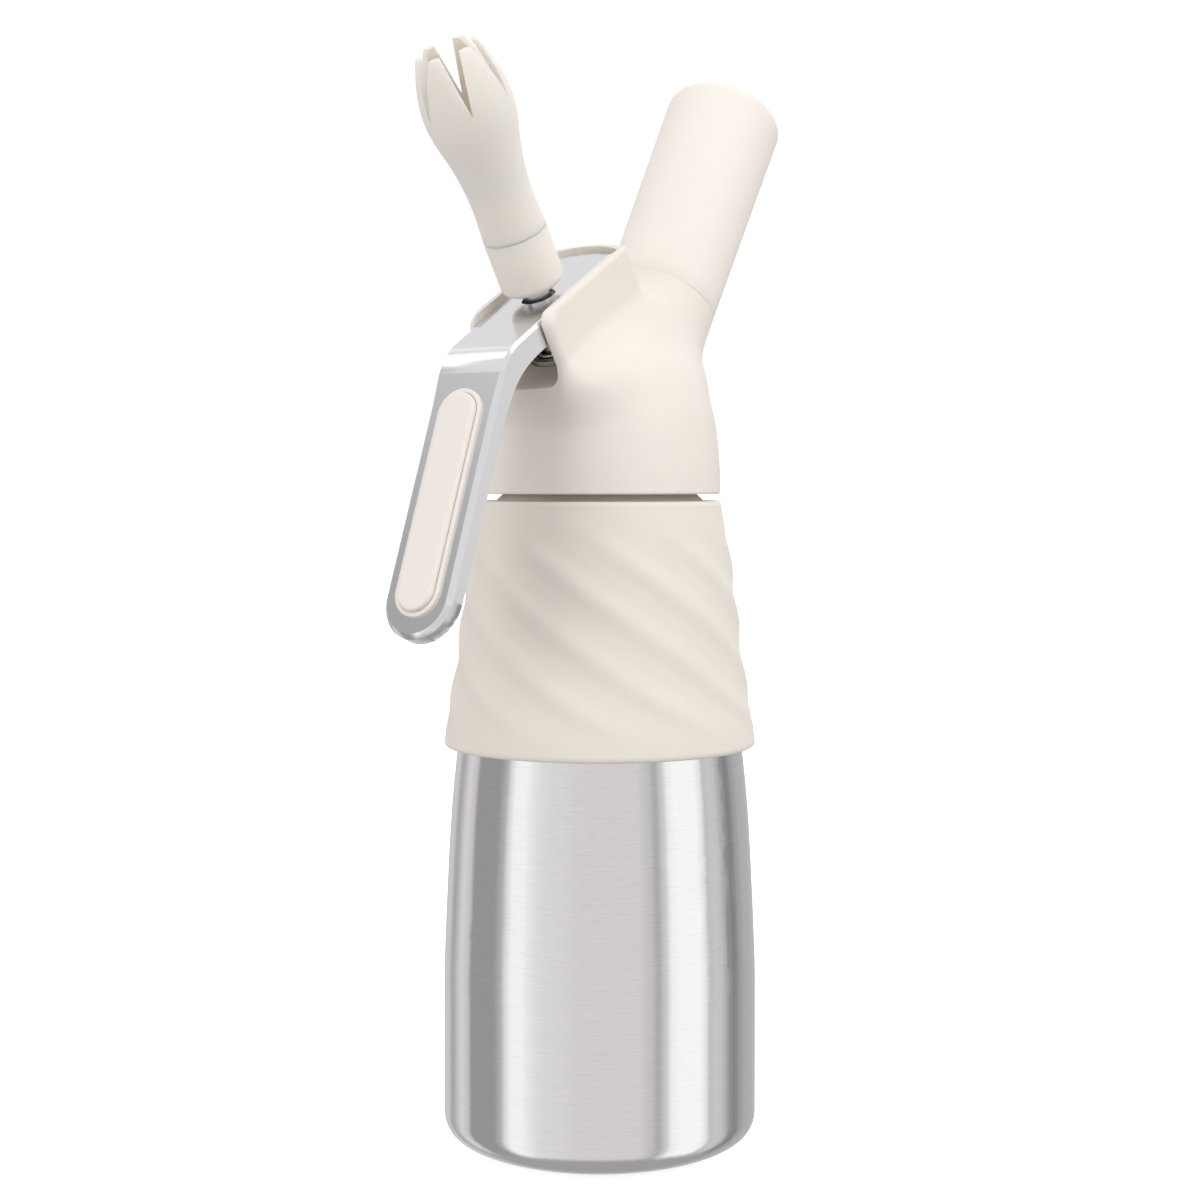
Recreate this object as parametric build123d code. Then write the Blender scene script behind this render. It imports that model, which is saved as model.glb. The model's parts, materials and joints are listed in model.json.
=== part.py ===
"""Whipped cream dispenser, half-litre class: tapered steel bottle with a soft grip
sleeve, screwed plastic head, sprung lever that pushes a hollow valve stem,
tulip tip on a threaded adapter, and a screwed holder for one 8 g gas charger.

Frame: millimetres, +Z up, origin on the bottle axis in the plane it stands on.
The lever and the tip are at the front (-Y), the charger holder leans back (+Y),
and X = 0 is the symmetry plane.

Two inclined axes cross the bottle axis inside the head:
  nozzle axis N: leans forward by NOZ_DEG from vertical
  holder axis H: leans back by HOL_DEG from vertical
Positions along them are called s, measured from the crossing points.
"""
from build123d import *
import os
import math

os.makedirs("parts", exist_ok=True)

# ---------------------------------------------------------------- dimensions
# bottle
BOT_R = 41.0            # largest outside radius
BASE_EDGE = [           # rounded base edge (radius, z), from the contact ring up
    (27.0, 0.0), (31.0, 0.6), (35.0, 1.7), (38.3, 3.3), (39.9, 4.9), (40.75, 6.8), (41.0, 9.8),
]
BOT_WALL = 1.0          # steel sheet
FOOT_R_OUT = 27.0       # contact ring of the base
FOOT_R_IN = 23.0
BASE_DOME = 2.0         # the base is pushed in inside the contact ring
NECK_R = 24.2           # outside radius of the neck, at the thread root
NECK_WALL = 1.6
NECK_Z0 = 173.2
MOUTH_Z = 185.0         # top of the bottle's mouth
THREAD_CREST_R = 25.3
THREAD_PITCH = 4.0
THREAD_Z0, THREAD_Z1 = 175.2, 182.2
BOTTLE_OUT = [          # (radius, z) of the steel from the cylinder up to the neck
    (41.0, 44.0), (40.72, 54.0), (40.27, 64.7), (39.49, 80.4), (38.3, 96.1),
    (37.3, 105.0), (35.5, 118.0), (33.9, 130.0), (32.3, 143.0), (30.6, 156.0),
    (29.2, 164.6),
]
SHOULDER = [(29.2, 164.6), (26.9, 169.2), (25.0, 171.2), (NECK_R, NECK_Z0)]

# grip sleeve
SLV_Z0, SLV_Z1 = 104.9, 169.2
SLEEVE_OUT = [          # outer envelope (radius, z), from the foot rim up
    (40.8, 106.4), (40.45, 109.5), (39.5, 115.0), (38.3, 121.5), (37.3, 128.0),
    (36.5, 136.0), (35.7, 144.0), (34.5, 153.0), (33.2, 161.0), (32.0, 167.0),
]
SLV_TOP_R = 31.5

# gasket and threaded liner of the head
GSK_R_OUT, GSK_R_IN, GSK_H = 25.2, 20.6, 2.3
GSK_GAP = 0.02          # rests on the mouth
LINER_R_IN, LINER_R_OUT = 25.65, 28.6
LINER_Z0, LINER_Z1 = 171.6, 184.5

# head
SKIRT_Z0 = 171.05
SKIRT = [               # (radius, z) of the skirt and dome
    (31.6, 171.05), (31.6, 175.7), (31.35, 179.8), (31.0, 184.0), (30.5, 188.2),
    (29.7, 192.4), (28.3, 196.6), (26.2, 200.8), (22.5, 205.0), (16.0, 208.5),
    (0.0, 210.5),
]
CHAMBER_R, CHAMBER_Z = 19.5, 192.5
NOZ_DEG, NOZ_Z = 33.5, 179.45
HOL_DEG = 32.15
HOL_Y, HOL_Z = 1.22, 179.25   # a point on the holder axis, where s = 0
BRANCH_R = 15.42        # charger branch, and the holder where it meets it
HOL_R_END = 16.35       # the holder widens a little towards its closed end
SEAM_S = 51.2           # where the holder meets the branch
CHEEK_X = 12.8          # outer faces of the cheeks
SLOT_X = 10.4           # inner faces of the cheeks
SLOT_FLOOR_S = 33.4
SLOT_CORNER = 3.0
CHEEK_Q_FRONT = -15.6   # q runs up the slope, square to the nozzle axis
BLOCK_BACK = (25.4, 28.0)    # q of the block's curved back at its corners and its middle
SLOT_BACK = (23.2, 25.85)    # q of the slot's curved end at its corners and its middle
RIM_S0 = 51.4           # rim height above the crossing, at q = 0
RIM_TILT = 0.062        # rim slope against the nozzle axis
TILT = 0.048            # lever plate slope against the nozzle axis

# nozzle valve
SEAT_S = 18.2           # face that the valve seal closes on
SEAT_BORE_R = 7.0
GUIDE_R = 7.5
GUIDE_BORE_R = 3.55
GUIDE_TOP_S = 34.7
GUIDE_POCKET_R = 5.7
SPRING_S0, SPRING_S1 = 24.2, 43.0
SPRING_R, SPRING_WIRE, SPRING_TURNS = 4.75, 0.9, 6.5
STEM_R = 3.5
STEM_BORE_R = 1.7
STEM_TOP_S = 60.0
STEM_TRAVEL = 2.8
WASHER_R, WASHER_S0, WASHER_S1 = 5.8, 43.05, 44.1

# lever
LEV_HALF = 10.0
PLATE_S0 = 49.85        # plate top at q = 0
PLATE_T = 4.4
PIVOT_Q, PIVOT_S = 17.0, 46.6
PIN_R, PIN_HALF = 1.6, 11.9
NUB_R, NUB_X = 0.8, 5.25 # round-ended nubs under the plate that push on the stem's washer
LEV_BACK = (23.1, 25.4)      # q of the plate's curved end at its corners and its middle
LEV_BEND_R = 15.0
LEV_EDGE = 0.8          # bevel along the plate and the bend
HND_EDGE = 1.2          # wider bevel round the handle
HND_DEG = 20.7          # handle's lean from vertical
HND_P = (59.3, 191.0)   # a point (forward, z) on the handle's front face
HND_END_T = 47.0        # centre of the handle's round end, down from HND_P
HND_T = 5.0             # handle thickness
LEV_HOLE_R, LEV_HOLE_EDGE = 4.4, 0.3
PAD_R, PAD_T0, PAD_T1 = 6.45, -5.9, 51.9
PAD_RISE, PAD_SINK = 1.8, 1.2

# tip
ADP_R, ADP_S0, ADP_S1 = 8.24, 52.7, 67.7
INS_R, INS_S0, INS_S1 = 4.7, 52.0, 64.0
SPIGOT_R, SPIGOT_S1 = 5.4, 73.5
TIP_OUT = [             # (radius, s)
    (8.2, 68.0), (8.0, 71.5), (7.85, 76.0), (7.98, 80.6), (8.5, 85.4), (9.35, 90.2),
    (10.35, 94.4), (11.05, 98.1), (11.3, 102.0), (11.0, 106.0), (10.15, 110.0),
    (9.05, 113.6), (7.8, 117.0),
]
TIP_WALL = 1.5
TIP_SLOTS, SLOT_DEPTH, SLOT_HALF = 6, 14.4, 2.42   # vees between the petals
SLOT_PHASE = 40.2       # degrees, turns the petals about the nozzle axis

# charger side
HOL_END_S = 117.5
HOL_FILLET = 3.6
SOCKET_S0, SOCKET_S1, SOCKET_R = 38.0, 60.5, 11.1
SOCKET_CREST_R = 11.6
LINER_S0, LINER_S1 = 51.9, 115.6
CHG_R, CHG_TIP_S, CHG_LEN = 9.3, 48.4, 65.5
NECK_CHG_R = 4.3


# ---------------------------------------------------------------- helpers
NOZ = math.radians(NOZ_DEG)
HOL = math.radians(HOL_DEG)
noz = Plane(origin=(0, 0, NOZ_Z), x_dir=(1, 0, 0), z_dir=(0, -math.sin(NOZ), math.cos(NOZ)))
hol = Plane(origin=(0, HOL_Y, HOL_Z), x_dir=(1, 0, 0), z_dir=(0, math.sin(HOL), math.cos(HOL)))


def cyl(r, z0, z1):
    return Pos(0, 0, (z0 + z1) / 2) * Cylinder(r, z1 - z0)


def tube(r_out, r_in, z0, z1):
    return cyl(r_out, z0, z1) - cyl(r_in, z0 - 1, z1 + 1)


def cone(r0, r1, z0, z1):
    return Pos(0, 0, (z0 + z1) / 2) * Cone(r0, r1, z1 - z0)


def box(x0, x1, y0, y1, z0, z1):
    return Pos((x0 + x1) / 2, (y0 + y1) / 2, (z0 + z1) / 2) * Box(x1 - x0, y1 - y0, z1 - z0)


def one(shape):
    """The single solid of a boolean's result."""
    solids = shape.solids() if hasattr(shape, "solids") else [shape]
    return max(solids, key=lambda s: s.volume)


def turned(edges):
    """Solid of revolution about Z from edges in the XZ plane."""
    return one(revolve(make_face(edges), axis=Axis.Z))


def xz(points):
    return [(r, 0, z) for r, z in points]


def to_uz(q, s):
    """(forward, z) of the point q, s in the symmetry plane."""
    return (-q * math.cos(NOZ) + s * math.sin(NOZ),
            NOZ_Z + q * math.sin(NOZ) + s * math.cos(NOZ))


def yz(p):
    """A point (forward, z) in the symmetry plane."""
    return (0, -p[0], p[1])


parts = {}


def keep(name, shape):
    solid = one(shape) if not isinstance(shape, list) else shape
    parts[name] = solid


# ---------------------------------------------------------------- bottle
def inward(points, wall):
    """The same line moved inwards by the wall, square to itself."""
    out = []
    for i, (r, z) in enumerate(points):
        a = points[max(0, i - 1)]
        b = points[min(len(points) - 1, i + 1)]
        dr, dz = b[0] - a[0], b[1] - a[1]
        n = math.hypot(dr, dz)
        out.append((r - wall * dz / n, z + wall * dr / n))
    return out


wall_in = inward(BOTTLE_OUT, BOT_WALL)
wall_in[0] = (BOT_R - BOT_WALL, BOTTLE_OUT[0][1])
sh_in = [(28.2, 164.4), (26.0, 168.5), (23.8, 170.5), (NECK_R - NECK_WALL, 172.8)]
wall_in[-1] = sh_in[0]
k = math.sqrt(0.5)
edge_in = [(27.0, 1.0), (31.0, 1.62), (34.7, 2.65), (37.6, 4.05), (39.0, 5.5), (39.75, 7.2), (40.0, 9.8)]
bottle_edges = [
    Line((0, 0, BASE_DOME), (FOOT_R_IN - 4, 0, BASE_DOME)),
    Spline((FOOT_R_IN - 4, 0, BASE_DOME), (FOOT_R_IN - 1.6, 0, BASE_DOME * 0.55), (FOOT_R_IN + 1.4, 0, 0),
           tangents=[(1, 0, 0), (1, 0, 0)]),
    Line((FOOT_R_IN + 1.4, 0, 0), (FOOT_R_OUT, 0, 0)),
    Spline(*xz(BASE_EDGE), tangents=[(1, 0, 0), (0, 0, 1)]),
    Line((BOT_R, 0, BASE_EDGE[-1][1]), (BOT_R, 0, BOTTLE_OUT[0][1])),
    Spline(*xz(BOTTLE_OUT), tangents=[(0, 0, 1), (-0.16, 0, 1)]),
    Spline(*xz(SHOULDER), tangents=[(-0.16, 0, 1), (0, 0, 1)]),
    Line((NECK_R, 0, NECK_Z0), (NECK_R, 0, MOUTH_Z - 0.6)),
    Line((NECK_R, 0, MOUTH_Z - 0.6), (NECK_R - 0.6, 0, MOUTH_Z)),
    Line((NECK_R - 0.6, 0, MOUTH_Z), (NECK_R - NECK_WALL + 0.4, 0, MOUTH_Z)),
    Line((NECK_R - NECK_WALL + 0.4, 0, MOUTH_Z), (NECK_R - NECK_WALL, 0, MOUTH_Z - 0.4)),
    Line((NECK_R - NECK_WALL, 0, MOUTH_Z - 0.4), (NECK_R - NECK_WALL, 0, sh_in[-1][1])),
    Spline(*xz(sh_in[::-1]), tangents=[(0, 0, -1), (0.16, 0, -1)]),
    Spline(*xz(wall_in[::-1]), tangents=[(0.16, 0, -1), (0, 0, -1)]),
    Line((BOT_R - BOT_WALL, 0, BOTTLE_OUT[0][1]), (BOT_R - BOT_WALL, 0, edge_in[-1][1])),
    Spline(*xz(edge_in[::-1]), tangents=[(0, 0, -1), (-1, 0, 0)]),
    Line((FOOT_R_OUT, 0, BOT_WALL), (FOOT_R_IN + 1.4, 0, BOT_WALL)),
    Spline((FOOT_R_IN + 1.4, 0, BOT_WALL), (FOOT_R_IN - 1.6, 0, BASE_DOME * 0.55 + BOT_WALL),
           (FOOT_R_IN - 4, 0, BASE_DOME + BOT_WALL), tangents=[(-1, 0, 0), (-1, 0, 0)]),
    Line((FOOT_R_IN - 4, 0, BASE_DOME + BOT_WALL), (0, 0, BASE_DOME + BOT_WALL)),
    Line((0, 0, BASE_DOME + BOT_WALL), (0, 0, BASE_DOME)),
]
bottle = turned(bottle_edges)


def helical_ridge(plane_r, crest_r, pitch, z0, z1, foot=1.0, tip=0.45, sink=0.35):
    """A trapezoid ridge wound on a cylinder of radius plane_r."""
    path = Pos(0, 0, z0) * Helix(pitch=pitch, height=z1 - z0, radius=plane_r)
    h = crest_r - plane_r
    profile = Plane(origin=path @ 0, x_dir=(1, 0, 0), z_dir=path % 0) * Polyline(
        (-sink, -foot), (h, -tip), (h, tip), (-sink, foot), close=True)
    return sweep(make_face(profile), path=path, is_frenet=True)


ridge = helical_ridge(NECK_R, THREAD_CREST_R, THREAD_PITCH, THREAD_Z0, THREAD_Z1)
fused = bottle + ridge
if len(fused.solids()) == 1 and fused.is_valid:
    bottle = one(fused)
else:
    print("bottle thread: union failed, beads instead")
    for i in range(2):
        bottle = one(bottle + tube(THREAD_CREST_R, NECK_R - 0.3, THREAD_Z0 + 3 * i, THREAD_Z0 + 3 * i + 1.2))
keep("bottle", bottle)

# ---------------------------------------------------------------- sleeve
fit = 0.05
core = turned([
    Line((0, 0, BOTTLE_OUT[0][1]), (BOT_R + fit, 0, BOTTLE_OUT[0][1])),
    Spline(*xz([(r + fit, z) for r, z in BOTTLE_OUT]), tangents=[(0, 0, 1), (-0.16, 0, 1)]),
    Spline(*xz([(r + fit, z) for r, z in SHOULDER]), tangents=[(-0.16, 0, 1), (0, 0, 1)]),
    Line((NECK_R + fit, 0, NECK_Z0), (0, 0, NECK_Z0)),
    Line((0, 0, NECK_Z0), (0, 0, BOTTLE_OUT[0][1])),
])
sleeve = turned([
    Line((0, 0, SLV_Z0), (39.6, 0, SLV_Z0)),
    ThreePointArc((39.6, 0, SLV_Z0), (39.6 + 1.2 * k, 0, SLV_Z0 + 1.5 * (1 - k)), (40.8, 0, SLEEVE_OUT[0][1])),
    Spline(*xz(SLEEVE_OUT), tangents=[(0, 0, 1), (-0.2, 0, 1)]),
    ThreePointArc((32.0, 0, 167.0), (31.86, 0, 168.5), (SLV_TOP_R - 0.5, 0, SLV_Z1)),
    Line((SLV_TOP_R - 0.5, 0, SLV_Z1), (0, 0, SLV_Z1)),
    Line((0, 0, SLV_Z1), (0, 0, SLV_Z0)),
])
keep("bottle_sleeve", sleeve - core)

# ---------------------------------------------------------------- gasket, liner
gz0 = MOUTH_Z + GSK_GAP
gasket = tube(GSK_R_OUT, GSK_R_IN, gz0, gz0 + GSK_H)
gasket = fillet(gasket.edges().group_by(Axis.Z)[-1], 0.5)
keep("head_gasket", gasket)

liner = tube(LINER_R_OUT, LINER_R_IN, LINER_Z0, LINER_Z1)
liner = chamfer(liner.edges().group_by(Axis.Z)[0].sort_by(SortBy.RADIUS)[0], 0.8)
keep("thread_liner", liner)

# ---------------------------------------------------------------- head shell
dome = turned([
    Line((0, 0, SKIRT_Z0), (SKIRT[0][0] - 0.4, 0, SKIRT_Z0)),
    Line((SKIRT[0][0] - 0.4, 0, SKIRT_Z0), (SKIRT[0][0], 0, SKIRT_Z0 + 0.4)),
    Line((SKIRT[0][0], 0, SKIRT_Z0 + 0.4), (SKIRT[1][0], 0, SKIRT[1][1])),
    Spline(*xz(SKIRT[1:]), tangents=[(0, 0, 1), (-1, 0, 0)]),
    Line((0, 0, SKIRT[-1][1]), (0, 0, SKIRT_Z0)),
])
branch = hol * cyl(BRANCH_R, 8, SEAM_S)
# the nozzle block: flat cheeks, sloped rim, square to the nozzle axis below
c = CHEEK_X


def tongue(half, q_front, back):
    """Plan of a bar with a gently curved back end, in the plane square to the nozzle axis."""
    q_c, q_m = back
    return make_face([
        Line((-half, q_front), (half, q_front)),
        Line((half, q_front), (half, q_c)),
        ThreePointArc((half, q_c), (0, q_m), (-half, q_c)),
        Line((-half, q_c), (-half, q_front)),
    ])


block = noz * (Pos(0, 0, 8) * extrude(tongue(c, CHEEK_Q_FRONT, BLOCK_BACK), 48))
rim_cut = noz * (Pos(0, 0, RIM_S0) * Rot(-math.degrees(math.atan(RIM_TILT)), 0, 0) * box(-20, 20, -40, 50, 0, 20))
block = one(block - rim_cut)
back_edges = [e for e in block.edges().filter_by(Axis(noz.origin, noz.z_dir))
              if noz.to_local_coords(e.center()).Y > 10]
block = one(fillet(back_edges, 1.8))
top_s = RIM_S0 - RIM_TILT * CHEEK_Q_FRONT
front_top = [e for e in block.edges().filter_by(Axis.X)
             if abs(noz.to_local_coords(e.center()).Z - top_s) < 0.1
             and noz.to_local_coords(e.center()).Y < CHEEK_Q_FRONT + 0.1]
block = one(fillet(front_top, 3.2))
head = one(dome + branch + block)
print("head union volume", round(head.volume))


slot = Pos(0, 0, SLOT_FLOOR_S) * extrude(tongue(SLOT_X, -40, SLOT_BACK), 40)
slot = fillet([e for e in slot.edges().filter_by(Axis.Z) if e.center().Y > 0], 0.4)
floor_edges = [e for e in slot.edges().filter_by(Axis.Y) if abs(e.center().Z - SLOT_FLOOR_S) < 0.01]
slot = one(fillet(floor_edges, SLOT_CORNER))
for sx in (-1, 1):      # the cheeks thin out at the slot's back corners, near the rim
    relief = extrude(make_face(Polyline((sx * 10.2, 18.6, 0), (sx * 11.5, 21.2, 0), (sx * 11.5, 24.4, 0),
                                        (sx * 10.2, 23.9, 0), close=True)), 12)
    slot = slot + Pos(0, 0, 46.0) * relief
slot = noz * one(slot)

head = head - slot
head = head - cyl(LINER_R_OUT, SKIRT_Z0 - 1, LINER_Z1 + 0.1)
head = head - cyl(25.6, LINER_Z1, gz0 + GSK_H + 0.1)
head = head - cyl(CHAMBER_R, gz0 + GSK_H, CHAMBER_Z)
head = head - noz * cyl(SEAT_BORE_R, 8, SEAT_S)
head = head - noz * cyl(GUIDE_R, SEAT_S - 0.5, SLOT_FLOOR_S + 1)
head = head - hol * cyl(2.6, 12, SOCKET_S0 + 0.5)
head = head - hol * cyl(SOCKET_R + 0.4, SOCKET_S0, SEAM_S + 1)
head = head - noz * (Pos(0, PIVOT_Q, PIVOT_S) * Rot(0, 90, 0) * Cylinder(PIN_R, 2 * PIN_HALF))
keep("head_shell", head)

# ---------------------------------------------------------------- valve
guide = cyl(GUIDE_R, SEAT_S, SLOT_FLOOR_S - 0.5) + cyl(GUIDE_R - 0.25, SLOT_FLOOR_S - 0.6, GUIDE_TOP_S)
guide = guide - cyl(GUIDE_BORE_R, SEAT_S - 1, 40) - cyl(GUIDE_POCKET_R, SPRING_S0 - 0.02, 40)
guide = guide - box(-9, 9, -1.2, 1.2, GUIDE_TOP_S - 1.0, 40)      # spanner notches
keep("valve_guide", noz * guide)

stem = cyl(STEM_R, 21.2, WASHER_S0) + cyl(2.5, 13.0, 21.3) + cyl(STEM_R - 0.3, WASHER_S0 - 0.01, STEM_TOP_S)
stem = stem - cyl(STEM_BORE_R, 19.0, STEM_TOP_S + 1)
for i in range(3):      # ports below the seat
    stem = stem - Rot(0, 0, 120 * i) * (Pos(2.6, 0, 19.95) * Rot(0, 90, 0) * Cylinder(0.85, 3.0))
stem = stem - tube(STEM_R + 1, 2.7, 22.0, 23.5)
stem = stem + cyl(2.0, 9.8, 13.1)
keep("valve_stem", noz * stem)
keep("stem_oring", noz * (Pos(0, 0, 22.75) * Torus(3.12, 0.40)))
seal = tube(5.6, 2.52, 15.2, SEAT_S - 0.1)
keep("valve_seal", noz * seal)
nut = Pos(0, 0, 12.2) * extrude(RegularPolygon(radius=4.0, side_count=6, major_radius=False), 3.0)
nut = nut - cyl(2.02, 11, 13.0) - cyl(2.52, 12.98, 16)
keep("seal_nut", noz * nut)
keep("stem_washer", noz * tube(WASHER_R, STEM_R - 0.28, WASHER_S0, WASHER_S1))

spring_path = Pos(0, 0, SPRING_S0 + SPRING_WIRE / 2) * Helix(
    pitch=(SPRING_S1 - SPRING_S0 - SPRING_WIRE) / SPRING_TURNS,
    height=SPRING_S1 - SPRING_S0 - SPRING_WIRE, radius=SPRING_R)
spring = sweep(Plane(origin=spring_path @ 0, z_dir=spring_path % 0) * Circle(SPRING_WIRE / 2),
               path=spring_path, is_frenet=True)
keep("valve_spring", noz * spring)

# ---------------------------------------------------------------- lever
hd = math.radians(HND_DEG)
along = (math.sin(hd), -math.cos(hd))          # down the handle (forward, z)
out_n = (math.cos(hd), math.sin(hd))           # square out of its front face


def hpt(t, off=0.0):
    return (HND_P[0] + t * along[0] + off * out_n[0], HND_P[1] + t * along[1] + off * out_n[1])


def plate_top(q):
    return to_uz(q, PLATE_S0 - TILT * q)


def plate_bot(q, drop=0.0):
    return to_uz(q, PLATE_S0 - PLATE_T - TILT * q - drop)


end_q = LEV_BACK[1] + 1.0
a0 = plate_top(end_q)
a1 = plate_top(-14.0)
pd = (a1[0] - a0[0], a1[1] - a0[1])
pl = math.hypot(*pd)
pd = (pd[0] / pl, pd[1] / pl)
# corner of plate line and handle line
det = pd[0] * (-along[1]) - pd[1] * (-along[0])
bx, bz = HND_P[0] - a0[0], HND_P[1] - a0[1]
tt = (bx * (-along[1]) - bz * (-along[0])) / det
corner = (a0[0] + tt * pd[0], a0[1] + tt * pd[1])
turn = math.acos(pd[0] * along[0] + pd[1] * along[1])
tl = LEV_BEND_R * math.tan(turn / 2)
b0 = (corner[0] - tl * pd[0], corner[1] - tl * pd[1])
b1 = (corner[0] + tl * along[0], corner[1] + tl * along[1])
mid_dir = ((pd[0] - along[0]), (pd[1] - along[1]))
ml = math.hypot(*mid_dir)
sag = LEV_BEND_R * (1 / math.cos(turn / 2) - 1)
bm = (corner[0] - sag * mid_dir[0] / ml, corner[1] - sag * mid_dir[1] / ml)
h_end = hpt(HND_END_T + LEV_HALF + 1)
inner = [(36.6, 208.0), (40.8, 205.55), (44.9, 202.7), (48.1, 199.8), (50.8, 196.3), (53.0, 192.4), hpt(1.5, -HND_T)]
i_end = hpt(HND_END_T + LEV_HALF + 1, -HND_T + 0.3)
lever_wire = [
    Line(yz(a0), yz(b0)),
    ThreePointArc(yz(b0), yz(bm), yz(b1)),
    Line(yz(b1), yz(h_end)),
    Line(yz(h_end), yz(i_end)),
    Line(yz(i_end), yz(inner[-1])),
    Spline(*[yz(p) for p in inner[::-1]],
           tangents=[(0, along[0], -along[1]), (0, 0.863, 0.505)]),
    Line(yz(inner[0]), yz(plate_bot(-9.5, 1.35))),
    Line(yz(plate_bot(-9.5, 1.35)), yz(plate_bot(-8.0))),
    Line(yz(plate_bot(-8.0)), yz(plate_bot(end_q))),
    Line(yz(plate_bot(end_q)), yz(a0)),
]
lever = extrude(make_face(lever_wire), amount=LEV_HALF, dir=(1, 0, 0), both=True)
lever = one(lever)
# curved end of the plate, round end of the handle
plate_plane = Plane(origin=yz(to_uz(0, PLATE_S0)), x_dir=(1, 0, 0),
                    z_dir=(0, -math.sin(NOZ - math.atan(TILT)), math.cos(NOZ - math.atan(TILT))))
plan = extrude(tongue(LEV_HALF, 0, LEV_BACK), 15, both=True)
plan = fillet([e for e in plan.edges().filter_by(Axis.Z) if e.center().Y > 1], 2.4)
trim = box(-15, 15, 5, 40, -12, 12) - plan
lever = one(lever - plate_plane * trim)
face_plane = Plane(origin=yz(hpt(HND_END_T)), x_dir=(1, 0, 0), z_dir=(0, -out_n[0], out_n[1]))
# local Y of this plane runs up the handle
trim2 = box(-15, 15, -20, 0, -12, 12) - cyl(LEV_HALF, -13, 13)
lever = one(lever - face_plane * trim2)
outer_edges = [e for e in lever.edges()
               if e.length > 2.5 and not (e.geom_type == GeomType.LINE and abs(e.center().X) < 1) and (
                   (abs(plate_plane.to_local_coords(e.center()).Z) < 0.02 and plate_plane.to_local_coords(e.center()).Y > -60)
                   or (abs(face_plane.to_local_coords(e.center()).Z) < 0.02)
                   or (e.geom_type == GeomType.CIRCLE and abs(e.radius - LEV_BEND_R) < 0.01 and abs(abs(e.center().X) - LEV_HALF) < 0.01))]
lever = one(lever.chamfer(LEV_EDGE, None, outer_edges))


def handle_outline(half, half_top, z):
    """Outline of the handle's face at height z over it, a little wider over its last stretch up to the bend."""
    y1, y2 = HND_END_T + FLARE_T0, HND_END_T + FLARE_T1
    w = Plane(origin=(0, 0, z))
    return w * make_face([
        Line((half, 0), (half, y1)), Line((half, y1), (half_top, y2)), Line((half_top, y2), (-half_top, y2)),
        Line((-half_top, y2), (-half, y1)), Line((-half, y1), (-half, 0)),
        ThreePointArc((-half, 0), (0, -half), (half, 0)),
    ])


# the handle's bevel is deeper than the plate's and runs out below the bend
t_bend = (b1[0] - HND_P[0]) * along[0] + (b1[1] - HND_P[1]) * along[1]
FLARE_T0, FLARE_T1 = -t_bend - 8.0, -t_bend - 0.3
core_in = loft([handle_outline(LEV_HALF + 1.0, LEV_HALF + 1.0 + HND_EDGE - LEV_EDGE, -HND_EDGE - 1.0),
                handle_outline(LEV_HALF - HND_EDGE - 1.0, LEV_HALF - LEV_EDGE - 1.0, 1.0)], ruled=True)
edge_tool = box(-15, 15, -20, HND_END_T + FLARE_T1, -HND_EDGE - 0.9, 0.9) - core_in
lever = one(lever - face_plane * edge_tool)
# hole for the stem, square to the plate
lever = lever - plate_plane * cyl(LEV_HOLE_R, -12, 1) - plate_plane * cone(
    LEV_HOLE_R - 0.5, LEV_HOLE_R + LEV_HOLE_EDGE + 0.5, -LEV_HOLE_EDGE - 0.5, 0.5)
# pivot hole, and the two nubs that push on the stem's washer
lever = lever - noz * (Pos(0, PIVOT_Q, PIVOT_S) * Rot(0, 90, 0) * Cylinder(PIN_R + 0.05, 30))
for sx in (-1, 1):
    nub_s = WASHER_S1 + 0.1 + NUB_R
    lever = lever + noz * (Pos(sx * NUB_X, 0, 0) * cyl(NUB_R, nub_s, 46.2)) + noz * (Pos(sx * NUB_X, 0, nub_s) * Sphere(NUB_R))
# pocket of the pad
pad_plane = Plane(origin=yz(hpt((PAD_T0 + PAD_T1) / 2)), x_dir=(0, -along[0], along[1]), z_dir=(0, -out_n[0], out_n[1]))
pocket = extrude(SlotOverall(PAD_T1 - PAD_T0 + 0.04, 2 * PAD_R + 0.04), 3)
lever = lever - pad_plane * (Pos(0, 0, -PAD_SINK) * pocket)
keep("lever_arm", lever)

pad = extrude(SlotOverall(PAD_T1 - PAD_T0, 2 * PAD_R), PAD_SINK + PAD_RISE)
pad = fillet(pad.edges().group_by(Axis.Z)[-1], 0.8)
keep("lever_pad", pad_plane * (Pos(0, 0, -PAD_SINK) * pad))
pin = Cylinder(PIN_R, 2 * PIN_HALF)
pin = chamfer(pin.edges(), 0.3)
keep("lever_pin", noz * (Pos(0, PIVOT_Q, PIVOT_S) * Rot(0, 90, 0) * pin))

# ---------------------------------------------------------------- tip adapter and tip
adapter = cyl(ADP_R, ADP_S0, ADP_S1)
adapter = fillet(adapter.edges().group_by(Axis.Z)[0], 2.2)
adapter = adapter + cyl(SPIGOT_R, ADP_S1 - 0.01, SPIGOT_S1)
adapter = adapter - cyl(INS_R, ADP_S0 - 1, INS_S1) - cyl(2.6, INS_S1 - 1, SPIGOT_S1 + 1)
keep("tip_adapter", noz * adapter)
insert = cyl(INS_R, INS_S0, INS_S1) - cyl(STEM_R - 0.3 + 0.06, INS_S0 - 1, STEM_TOP_S + 0.6) - cyl(2.6, STEM_TOP_S, INS_S1 + 1)
insert = chamfer(insert.edges().group_by(Axis.Z)[0].sort_by(SortBy.RADIUS)[-1], 0.5)
keep("adapter_insert", noz * insert)

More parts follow.
